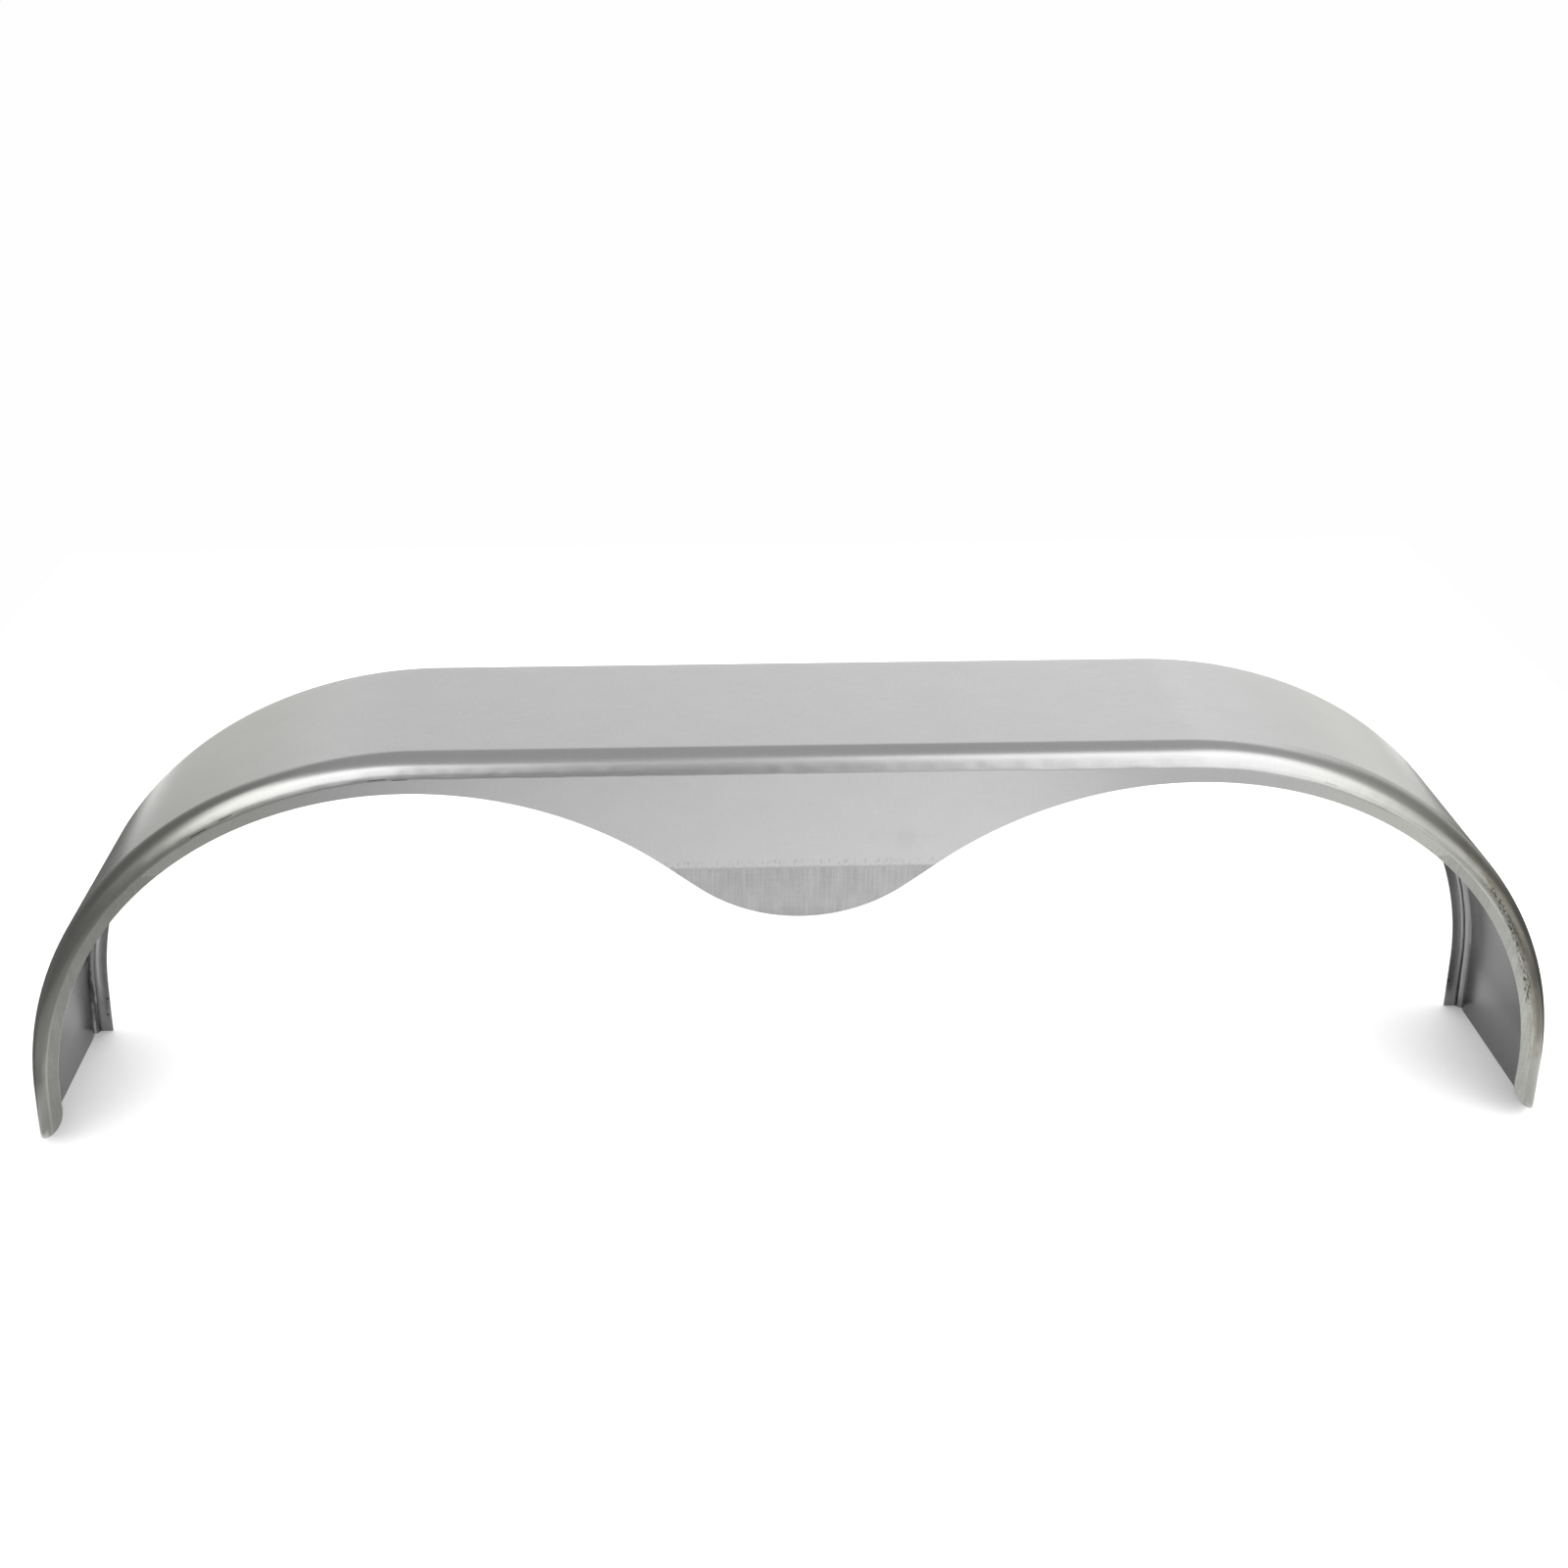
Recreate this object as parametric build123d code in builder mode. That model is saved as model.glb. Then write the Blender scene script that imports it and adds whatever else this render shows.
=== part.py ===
from build123d import *
from math import asin, atan2, cos, degrees, radians, sin, sqrt
import os

# Tandem-axle trailer mudguard in bare sheet steel, standing on its two legs.
# X runs along the mudguard, the closed front faces -Y and the flange that meets the trailer faces +Y.
# The origin is on the ground, midway between the legs and midway through the width.
# Sizes are in millimetres.

# Driving dimensions of the arch
overall_length = 1829.0
overall_width = 228.0
overall_height = 530.0
sheet = 2.0
leg_length = 81.1
leg_flare = 5.2

# Driving dimensions of the strip's two formed edges
bead_radius = 24.0
flange_depth = 23.0
flange_bend_radius = 6.0

# Driving dimensions of the front apron. The outer arc of a wheel cut-out is set inside its shoulder: its
# radius is smaller by cutout_step, and the next two sizes are the lip left above it and beside it.
cutout_step = 51.0
lip_at_crown = 41.0
lip_at_leg = 37.7
lobe_depth = 207.5
lobe_radius = 185.0
lobe_flank = 47.0
corner_radius = 60.0
corner_height = 66.0

# How far cutting tools reach past the sheet
tool_reach = 80.0

# Arch line on the outer surface of the strip. The shoulder takes up the height that the leg leaves.
flare = radians(leg_flare)
shoulder_angle = 90 - leg_flare
leg_top_height = leg_length * cos(flare)
shoulder_radius = (overall_height - leg_top_height) / (1 - sin(flare))
shoulder_height = overall_height - shoulder_radius
crown_half = overall_length / 2 - shoulder_radius * cos(flare) - leg_length * sin(flare)
leg_top = Vector(crown_half + shoulder_radius * cos(flare), 0, leg_top_height)
leg_direction = Vector(sin(flare), 0, -cos(flare))
front = -overall_width / 2

# Planes square to the arch line: middle of the crown, start of the shoulder and top of the leg
crown_plane = Plane(origin=(0, 0, overall_height), x_dir=(0, 1, 0), z_dir=(1, 0, 0))
shoulder_plane = Plane(origin=(crown_half, 0, overall_height), x_dir=(0, 1, 0), z_dir=(1, 0, 0))
leg_plane = Plane(origin=leg_top, x_dir=(0, 1, 0), z_dir=leg_direction)
shoulder_axis = Axis((crown_half, 0, shoulder_height), (0, 1, 0))

# Section of the strip, drawn flat with its top surface on the X axis
bend_centre = (-front - flange_bend_radius, -flange_bend_radius)
bead_centre = (front + bead_radius, -bead_radius)
with BuildSketch() as strip_section:
    with BuildLine():
        bead = CenterArc(bead_centre, bead_radius, 90, 90)
        bend = CenterArc(bend_centre, flange_bend_radius, 0, 90)
        Line(bend @ 1, bead @ 0)
        flange_face = Line(bend @ 0, (-front, -flange_depth))
        bead_inside = CenterArc(bead_centre, bead_radius - sheet, 90, 90)
        bend_inside = CenterArc(bend_centre, flange_bend_radius - sheet, 0, 90)
        Line(bend_inside @ 1, bead_inside @ 0)
        Polyline(flange_face @ 1, (-front - sheet, -flange_depth), bend_inside @ 0)
        Line(bead_inside @ 1, bead @ 1)
    make_face()

# Lower outline of the apron. A wheel cut-out is two arcs that meet at its top: the outer one follows the
# shoulder, and the inner one takes the radius that meets the lobe's straight flank smoothly.
cutout_radius = shoulder_radius - cutout_step
cutout_top = Vector(crown_half + cutout_step - lip_at_leg, overall_height - lip_at_crown)
wheel_centre = cutout_top - Vector(0, cutout_radius)
lobe_centre = Vector(0, overall_height - lobe_depth + lobe_radius)
reach = cutout_top - lobe_centre
inner_radius = (reach.length**2 - lobe_radius**2 - lobe_flank**2) / (2 * (lobe_radius + reach.Y))
inner_centre = cutout_top - Vector(0, inner_radius)
centres = inner_centre - lobe_centre
flank_angle = degrees(atan2(centres.Y, centres.X) - atan2(lobe_flank, inner_radius + lobe_radius))

# Rounded lower corner of the bead and lip, tangent to the wheel cut-out at corner_height
corner_rise = (corner_height - wheel_centre.Y) / cutout_radius
corner_angle = degrees(asin(corner_rise))
corner_run = sqrt(1 - corner_rise**2)
corner_start = wheel_centre + Vector(corner_run, corner_rise) * cutout_radius
corner_centre = wheel_centre + Vector(corner_run, corner_rise) * (cutout_radius + corner_radius)
corner_low = corner_centre - Vector(0, corner_radius)

with BuildSketch(Plane.XZ.offset(-front)) as corner_waste:
    with BuildLine():
        CenterArc(corner_centre, corner_radius, 180 + corner_angle, 90 - corner_angle)
        Polyline(
            corner_low,
            corner_low + Vector(tool_reach, 0),
            (corner_low.X + tool_reach, -tool_reach),
            (corner_start.X - tool_reach, -tool_reach),
            (corner_start.X - tool_reach, corner_start.Y),
            corner_start,
        )
    make_face()

# Arch strip: crown, shoulder and leg of the right half, mirrored, then its feet cut level with the ground
with BuildPart() as arch_strip:
    with BuildSketch(crown_plane):
        add(strip_section.sketch)
    extrude(amount=crown_half)
    with BuildSketch(shoulder_plane):
        add(strip_section.sketch)
    revolve(axis=shoulder_axis, revolution_arc=shoulder_angle)
    with BuildSketch(leg_plane):
        add(strip_section.sketch)
    extrude(amount=leg_length + tool_reach)
    extrude(corner_waste.sketch, amount=-bead_radius, mode=Mode.SUBTRACT)
    mirror(about=Plane.YZ)
    split(bisect_by=Plane.XY, keep=Keep.TOP)
arch_strip.part.label = "arch_strip"

# Front apron: flat plate whose upper edge butts against the rolled bead
apron_top = overall_height - bead_radius
apron_shoulder = shoulder_radius - bead_radius
leg_side = leg_top - Vector(cos(flare), 0, sin(flare)) * bead_radius
leg_foot = leg_side + leg_direction * (leg_side.Z / cos(flare))
cutout_side = wheel_centre.X + cutout_radius

with BuildPart() as front_apron:
    with BuildSketch(Plane.XZ.offset(-front)):
        with BuildLine():
            Line((0, apron_top), (crown_half, apron_top))
            CenterArc((crown_half, shoulder_height), apron_shoulder, leg_flare, shoulder_angle)
            Polyline(
                (leg_side.X, leg_side.Z),
                (leg_foot.X, leg_foot.Z),
                (cutout_side, leg_foot.Z),
                (cutout_side, wheel_centre.Y),
            )
            CenterArc(wheel_centre, cutout_radius, 0, 90)
            inner = CenterArc(inner_centre, inner_radius, 90, 90 + flank_angle)
            lobe = CenterArc(lobe_centre, lobe_radius, -90, 90 + flank_angle)
            Line(inner @ 1, lobe @ 1)
            Line(lobe @ 0, (0, apron_top))
        make_face()
    extrude(amount=-sheet)
    extrude(corner_waste.sketch, amount=-sheet, mode=Mode.SUBTRACT)
    mirror(about=Plane.YZ)
front_apron.part.label = "front_apron"

os.makedirs("parts", exist_ok=True)
export_step(arch_strip.part, "parts/arch_strip.step")
export_step(front_apron.part, "parts/front_apron.step")
print("crown", round(2 * crown_half, 1), "shoulder radius", round(shoulder_radius, 1))
print("axle spacing", round(2 * wheel_centre.X, 1))
print("cut-out radii", round(cutout_radius, 2), round(inner_radius, 2))
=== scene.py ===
from math import atan2, cos, pi, radians, sin, sqrt

import bpy
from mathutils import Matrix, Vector


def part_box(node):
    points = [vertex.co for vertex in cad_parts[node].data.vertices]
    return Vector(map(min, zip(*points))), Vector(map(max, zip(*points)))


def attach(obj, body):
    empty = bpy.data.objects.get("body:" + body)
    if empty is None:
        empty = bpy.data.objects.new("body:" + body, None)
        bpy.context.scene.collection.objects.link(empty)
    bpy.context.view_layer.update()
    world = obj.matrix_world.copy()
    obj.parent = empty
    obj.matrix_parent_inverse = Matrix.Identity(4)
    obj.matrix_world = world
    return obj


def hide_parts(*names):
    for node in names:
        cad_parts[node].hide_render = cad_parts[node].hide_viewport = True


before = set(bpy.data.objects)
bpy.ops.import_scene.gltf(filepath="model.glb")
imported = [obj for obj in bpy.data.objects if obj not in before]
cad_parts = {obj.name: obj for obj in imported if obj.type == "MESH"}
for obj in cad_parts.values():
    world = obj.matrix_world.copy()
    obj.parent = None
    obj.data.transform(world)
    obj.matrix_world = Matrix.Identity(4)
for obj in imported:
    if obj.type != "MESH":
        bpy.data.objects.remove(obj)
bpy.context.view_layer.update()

# Arch strip
# One length of cold-rolled sheet steel. A roll former turns its front edge into a quarter-round bead and
# folds its rear edge into a flange, and the strip is then rolled to the arch and cut level at the feet.

strip_low, strip_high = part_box("arch_strip")
strip_height = strip_high.z
half_length = strip_high.x
front = strip_low.y
rear = strip_high.y
sheet = 0.002
bead_radius = 0.024
flange_depth = 0.023
flange_bend_radius = 0.006
flange_chamfer = 0.0004
leg_length = 0.0811
leg_flare = radians(5.2)
shoulder_turn = pi / 2 - leg_flare
shoulder_radius = (strip_height - leg_length * cos(leg_flare)) / (1 - sin(leg_flare))
crown_half = half_length - shoulder_radius * cos(leg_flare) - leg_length * sin(leg_flare)

# The wheel cut-out and the rounded lower corner of the front, as seen square to the apron
cutout_step = 0.051
lip_at_crown = 0.041
lip_at_leg = 0.0377
corner_radius = 0.060
corner_height = 0.066
cutout_radius = shoulder_radius - cutout_step
cutout_top = Vector((crown_half + cutout_step - lip_at_leg, strip_height - lip_at_crown))
wheel_centre = cutout_top - Vector((0, cutout_radius))
corner_slope = (corner_height - wheel_centre.y) / cutout_radius
corner_normal = Vector((sqrt(1 - corner_slope**2), corner_slope))
corner_start = wheel_centre + corner_normal * cutout_radius
corner_centre = wheel_centre + corner_normal * (cutout_radius + corner_radius)
leg_down = Vector((sin(leg_flare), -cos(leg_flare)))
leg_out = Vector((cos(leg_flare), sin(leg_flare)))
leg_top = Vector((crown_half, strip_height - shoulder_radius)) + leg_out * shoulder_radius
corner_along = (corner_centre - leg_top).dot(leg_down)
corner_beyond = (corner_centre - leg_top).dot(leg_out)


def arc(centre, radius, start, end, steps):
    """Points along an arc in the plane of a drawing, from one angle in degrees to another."""
    angles = [radians(start + (end - start) * i / steps) for i in range(steps + 1)]
    return [(centre[0] + radius * cos(a), centre[1] + radius * sin(a)) for a in angles]


# Section of the strip: the first number is Y, and the second is the height from the sheet's top face. The
# inner face has as many points as the outer one, so that each has a partner across the sheet. The mesh
# holds the section turned by half a turn, because the sweep turns it back.
bead_centre = (front + bead_radius, -bead_radius)
bead_steps = 30
bend_steps = 10
bend_centre = (rear - flange_bend_radius, -flange_bend_radius)
flat_start = bead_centre[0] + 0.0003
flat_steps = 16
flat = [(flat_start + (bend_centre[0] - flat_start) * i / flat_steps, 0.0) for i in range(flat_steps)]
flange_middle = -0.018
flange_end = flange_chamfer - flange_depth
outer_face = arc(bead_centre, bead_radius, 180, 90, bead_steps) + flat
outer_face += arc(bend_centre, flange_bend_radius, 90, 0, bend_steps)
outer_face += [(rear, -0.012), (rear, flange_middle), (rear, flange_end)]

# On the inner face a rounded ridge of filler metal lies in the flange root
ridge_radius = 0.0075
ridge_centre = (rear - 0.0035, -sheet)
ridge_foot = (rear - sheet - 0.0003, -0.0103)
ridge_steps = 9
ridge_start, *ridge = arc(ridge_centre, ridge_radius, 180, 260, ridge_steps)
before_ridge = arc(bead_centre, bead_radius - sheet, 180, 90, bead_steps)
before_ridge += [(y, -sheet) for y, _ in flat] + [ridge_start]
past_ridge = [ridge_foot, (rear - sheet, -0.011), (rear - sheet, flange_middle), (rear - sheet, flange_end)]
inner_face = before_ridge + ridge + past_ridge
tip = [(rear - sheet + flange_chamfer, -flange_depth), (rear - flange_chamfer, -flange_depth)]
section = inner_face + tip + outer_face[::-1]
section_mesh = bpy.data.meshes.new("strip_section")
section_edges = [(i, (i + 1) % len(section)) for i in range(len(section))]
section_mesh.from_pydata([(-y, -z, 0) for y, z in section], section_edges, [])

# How far each point is from the front seam, measured over the bend, whether it is on the inner face, and
# whether it is on the ridge
across_face = [0.0]
for a, b in zip(outer_face, outer_face[1:]):
    across_face.append(across_face[-1] + sqrt((b[0] - a[0]) ** 2 + (b[1] - a[1]) ** 2))
after_ridge = len(past_ridge + tip + outer_face)
section_values = {
    "across": across_face + across_face[-1:] * 2 + across_face[::-1],
    "inside": [1.0] * (len(inner_face) + 1) + [0.0] * (len(outer_face) + 1),
    "ridge": [0.0] * len(before_ridge) + [1.0] * len(ridge) + [0.0] * after_ridge,
}
for name, numbers in section_values.items():
    section_mesh.attributes.new(name, "FLOAT", "POINT").data.foreach_set("value", numbers)
strip = bpy.data.objects.new("formed_strip", section_mesh)
bpy.context.scene.collection.objects.link(strip)


def add(tree, kind, inputs=None, **settings):
    """Adds a node with its settings. An input is a value, a socket, or a node for its first output."""
    node = tree.nodes.new(kind)
    for name, value in settings.items():
        setattr(node, name, value)
    for socket, value in (inputs or {}).items():
        if isinstance(value, bpy.types.Node):
            value = value.outputs[0]
        if isinstance(value, bpy.types.NodeSocket):
            tree.links.new(value, node.inputs[socket])
        else:
            node.inputs[socket].default_value = value
    return node


def window(tree, value, rise_from, rise_to, fall_from, fall_to):
    """1 between two edges of a value and 0 outside them, with soft sides."""
    rise = add(
        tree,
        "ShaderNodeMapRange",
        {"Value": value, "From Min": rise_from, "From Max": rise_to},
        interpolation_type="SMOOTHSTEP",
    )
    fall = add(
        tree,
        "ShaderNodeMapRange",
        {"Value": value, "From Min": fall_from, "From Max": fall_to, "To Min": 1.0, "To Max": 0.0},
        interpolation_type="SMOOTHSTEP",
    )
    return add(tree, "ShaderNodeMath", {0: rise, 1: fall}, operation="MULTIPLY")


# Roll forming tree: the section is swept straight, its root is hammered and its bead ground, and then every
# point is carried onto the arch line
sizes = {
    "Height": strip_height,
    "Crown Half": crown_half,
    "Shoulder Radius": shoulder_radius,
    "Shoulder Turn": shoulder_turn,
    "Leg Length": leg_length,
    "Front Edge": front + bead_radius,
    "Corner Radius": corner_radius,
    "Corner Along": corner_along,
    "Corner Beyond": corner_beyond,
    "Hammered Depth": 0.0022,
    "Thinned Depth": 0.0026,
    "Thinned Length": 0.12,
    "Ground Depth": 0.0006,
}
forming = bpy.data.node_groups.new("roll_forming", "GeometryNodeTree")
forming.interface.new_socket("Geometry", in_out="INPUT", socket_type="NodeSocketGeometry")
for name in sizes:
    forming.interface.new_socket(name, in_out="INPUT", socket_type="NodeSocketFloat")
forming.interface.new_socket("Stations", in_out="INPUT", socket_type="NodeSocketInt")
forming.interface.new_socket("Material", in_out="INPUT", socket_type="NodeSocketMaterial")
forming.interface.new_socket("Geometry", in_out="OUTPUT", socket_type="NodeSocketGeometry")
given = add(forming, "NodeGroupInput").outputs

turned_length = add(
    forming, "ShaderNodeMath", {0: given["Shoulder Radius"], 1: given["Shoulder Turn"]}, operation="MULTIPLY"
)
leg_start = add(forming, "ShaderNodeMath", {0: given["Crown Half"], 1: turned_length}, operation="ADD")
half_strip = add(forming, "ShaderNodeMath", {0: leg_start, 1: given["Leg Length"]}, operation="ADD")
strip_end = add(forming, "ShaderNodeCombineXYZ", {"X": half_strip})
strip_start = add(forming, "ShaderNodeVectorMath", {0: strip_end, "Scale": -1.0}, operation="SCALE")
line = add(forming, "GeometryNodeCurvePrimitiveLine", {"Start": strip_start, "End": strip_end})
rail = add(forming, "GeometryNodeResampleCurve", {"Curve": line, "Count": given["Stations"]})
profile = add(forming, "GeometryNodeMeshToCurve", {"Mesh": given["Geometry"]})
straight = add(
    forming, "GeometryNodeCurveToMesh", {"Curve": rail, "Profile Curve": profile, "Fill Caps": True}
)

# How much of a point's distance from the middle lies on the crown, on the shoulder and on the leg
position = add(forming, "GeometryNodeInputPosition")
point = add(forming, "ShaderNodeSeparateXYZ", {0: position}).outputs
from_middle = add(forming, "ShaderNodeMath", {0: point["X"]}, operation="ABSOLUTE")
side = add(forming, "ShaderNodeMath", {0: point["X"]}, operation="SIGN")
depth = add(forming, "ShaderNodeMath", {0: point["Z"], 1: -1.0}, operation="MULTIPLY")
on_crown = add(forming, "ShaderNodeMath", {0: from_middle, 1: given["Crown Half"]}, operation="MINIMUM")
past_crown = add(forming, "ShaderNodeMath", {0: from_middle, 1: on_crown}, operation="SUBTRACT")
on_shoulder = add(forming, "ShaderNodeMath", {0: past_crown, 1: turned_length}, operation="MINIMUM")
on_leg = add(forming, "ShaderNodeMath", {0: past_crown, 1: on_shoulder}, operation="SUBTRACT")
turn = add(forming, "ShaderNodeMath", {0: on_shoulder, 1: given["Shoulder Radius"]}, operation="DIVIDE")

# Where the leg ends: level on the ground behind the bead, and on the rounded corner within it
flare = add(forming, "ShaderNodeMath", {0: pi / 2, 1: given["Shoulder Turn"]}, operation="SUBTRACT")
flare_slope = add(forming, "ShaderNodeMath", {0: flare}, operation="TANGENT")
level_rise = add(forming, "ShaderNodeMath", {0: depth, 1: flare_slope}, operation="MULTIPLY")
level_end = add(forming, "ShaderNodeMath", {0: given["Leg Length"], 1: level_rise}, operation="SUBTRACT")
aside = add(forming, "ShaderNodeMath", {0: given["Corner Beyond"], 1: depth}, operation="ADD")
aside_squared = add(forming, "ShaderNodeMath", {0: aside, 1: 2.0}, operation="POWER")
radius_squared = add(forming, "ShaderNodeMath", {0: given["Corner Radius"], 1: 2.0}, operation="POWER")
drop_squared = add(forming, "ShaderNodeMath", {0: radius_squared, 1: aside_squared}, operation="SUBTRACT")
drop = add(forming, "ShaderNodeMath", {0: drop_squared}, operation="SQRT")
corner_end = add(forming, "ShaderNodeMath", {0: given["Corner Along"], 1: drop}, operation="ADD")
past_bead = add(forming, "ShaderNodeMath", {0: point["Y"], 1: given["Front Edge"]}, operation="SUBTRACT")
in_bead = add(forming, "ShaderNodeMath", {0: past_bead, 1: 0.0001}, operation="LESS_THAN")
leg_end = add(
    forming,
    "GeometryNodeSwitch",
    {"Switch": in_bead, "False": level_end, "True": corner_end},
    input_type="FLOAT",
)
leg_share = add(forming, "ShaderNodeMath", {0: on_leg, 1: given["Leg Length"]}, operation="DIVIDE")
down_leg = add(forming, "ShaderNodeMath", {0: leg_share, 1: leg_end}, operation="MULTIPLY")

# The point on the arch: out from the shoulder's centre, and then down the leg
centre_height = add(
    forming, "ShaderNodeMath", {0: given["Height"], 1: given["Shoulder Radius"]}, operation="SUBTRACT"
)
centre = add(forming, "ShaderNodeCombineXYZ", {"X": on_crown, "Y": point["Y"], "Z": centre_height})
turn_sine = add(forming, "ShaderNodeMath", {0: turn}, operation="SINE")
turn_cosine = add(forming, "ShaderNodeMath", {0: turn}, operation="COSINE")
downwards = add(forming, "ShaderNodeMath", {0: turn_sine, 1: -1.0}, operation="MULTIPLY")
outwards = add(forming, "ShaderNodeCombineXYZ", {"X": turn_sine, "Z": turn_cosine})
onwards = add(forming, "ShaderNodeCombineXYZ", {"X": turn_cosine, "Z": downwards})
reach_out = add(forming, "ShaderNodeMath", {0: given["Shoulder Radius"], 1: depth}, operation="SUBTRACT")
outward_step = add(
    forming, "ShaderNodeVectorMath", {0: outwards, "Scale": reach_out.outputs[0]}, operation="SCALE"
)
onward_step = add(
    forming, "ShaderNodeVectorMath", {0: onwards, "Scale": down_leg.outputs[0]}, operation="SCALE"
)
arched = add(forming, "ShaderNodeVectorMath", {0: centre, 1: outward_step}, operation="ADD")
arched = add(forming, "ShaderNodeVectorMath", {0: arched, 1: onward_step}, operation="ADD")
mirror = add(forming, "ShaderNodeCombineXYZ", {"X": side, "Y": 1.0, "Z": 1.0})
arched = add(forming, "ShaderNodeVectorMath", {0: arched, 1: mirror}, operation="MULTIPLY")

# The ridge in the flange root is hammered uneven, and it runs out thinner towards the feet
hammer_spacing = 1 / 45
on_ridge = add(forming, "GeometryNodeInputNamedAttribute", {"Name": "ridge"}, data_type="FLOAT")
blows = add(
    forming, "ShaderNodeTexNoise", {"Scale": 1 / hammer_spacing, "Detail": 2.0, "Vector": position}
)
thinned_from = add(
    forming, "ShaderNodeMath", {0: half_strip, 1: given["Thinned Length"]}, operation="SUBTRACT"
)
thinned = add(
    forming,
    "ShaderNodeMapRange",
    {
        "Value": from_middle,
        "From Min": thinned_from,
        "From Max": half_strip,
        "To Min": 0.0,
        "To Max": given["Thinned Depth"],
    },
)
sunk = add(forming, "ShaderNodeMath", {0: blows, 1: given["Hammered Depth"]}, operation="MULTIPLY")
sunk = add(forming, "ShaderNodeMath", {0: sunk, 1: thinned}, operation="ADD")
sunk = add(forming, "ShaderNodeMath", {0: sunk, 1: on_ridge}, operation="MULTIPLY")
into_root = add(
    forming, "ShaderNodeVectorMath", {0: (0.0, 0.7, 0.7), "Scale": sunk.outputs[0]}, operation="SCALE"
)
hammered = add(forming, "GeometryNodeSetPosition", {"Geometry": straight, "Offset": into_root})

# The lower part of the bead is ground by hand, so it waves a little
grinder_spacing = 1 / 38
from_seam = add(forming, "GeometryNodeInputNamedAttribute", {"Name": "across"}, data_type="FLOAT")
on_inner_face = add(forming, "GeometryNodeInputNamedAttribute", {"Name": "inside"}, data_type="FLOAT")
on_outer_face = add(forming, "ShaderNodeMath", {0: 1.0, 1: on_inner_face}, operation="SUBTRACT")
ground = window(forming, from_seam, 0.0005, 0.005, 0.009, 0.017)
ground = add(forming, "ShaderNodeMath", {0: ground, 1: on_outer_face}, operation="MULTIPLY")
waves = add(
    forming, "ShaderNodeTexNoise", {"Scale": 1 / grinder_spacing, "Detail": 1.0, "Vector": position}
)
ground = add(forming, "ShaderNodeMath", {0: ground, 1: waves}, operation="MULTIPLY")
ground = add(forming, "ShaderNodeMath", {0: ground, 1: given["Ground Depth"]}, operation="MULTIPLY")
inwards = add(forming, "ShaderNodeCombineXYZ", {"Y": ground})
worked = add(forming, "GeometryNodeSetPosition", {"Geometry": hammered, "Offset": inwards})
marked = add(
    forming, "GeometryNodeStoreNamedAttribute", {"Geometry": worked, "Name": "along", "Value": point["X"]}
)
bent = add(forming, "GeometryNodeSetPosition", {"Geometry": marked, "Position": arched})
realized = add(forming, "GeometryNodeRealizeInstances", {0: bent})
dressed = add(
    forming, "GeometryNodeSetMaterial", {"Geometry": realized, "Material": given["Material"]}
)
add(forming, "NodeGroupOutput", {0: dressed})


def linear(code, alpha=1.0):
    """An sRGB hex colour as the linear red, green, blue and alpha that a shader takes."""
    channels = [int(code[i : i + 2], 16) / 255 for i in (0, 2, 4)]
    return [c / 12.92 if c <= 0.04045 else ((c + 0.055) / 1.055) ** 2.4 for c in channels] + [alpha]


def new_material(name):
    """A material with an empty tree, and that tree."""
    material = bpy.data.materials.new(name)
    material.use_nodes = True
    material.node_tree.nodes.clear()
    return material, material.node_tree


def patch(tree, first, first_edges, second, second_edges):
    """1 where two values both lie between their edges, and 0 elsewhere, with soft sides."""
    windows = {0: window(tree, first, *first_edges), 1: window(tree, second, *second_edges)}
    return add(tree, "ShaderNodeMath", windows, operation="MULTIPLY")


def noise(tree, place, size, **inputs):
    """Soft noise around 0, with the size of its grains in metres along the two ways of a surface."""
    grains = add(tree, "ShaderNodeVectorMath", {0: place, 1: (size[0], size[1], 1.0)}, operation="DIVIDE")
    spots = add(tree, "ShaderNodeTexNoise", {"Vector": grains, "Scale": 1.0, **inputs})
    return add(tree, "ShaderNodeMath", {0: spots, 1: 0.5}, operation="SUBTRACT")


def shade(tree, tone, mask, amount):
    """A tone multiplied by an amount where a mask is 1."""
    part = add(tree, "ShaderNodeMapRange", {"Value": mask, "To Min": 1.0, "To Max": amount}, clamp=False)
    return add(tree, "ShaderNodeMath", {0: tone, 1: part}, operation="MULTIPLY")


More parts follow.
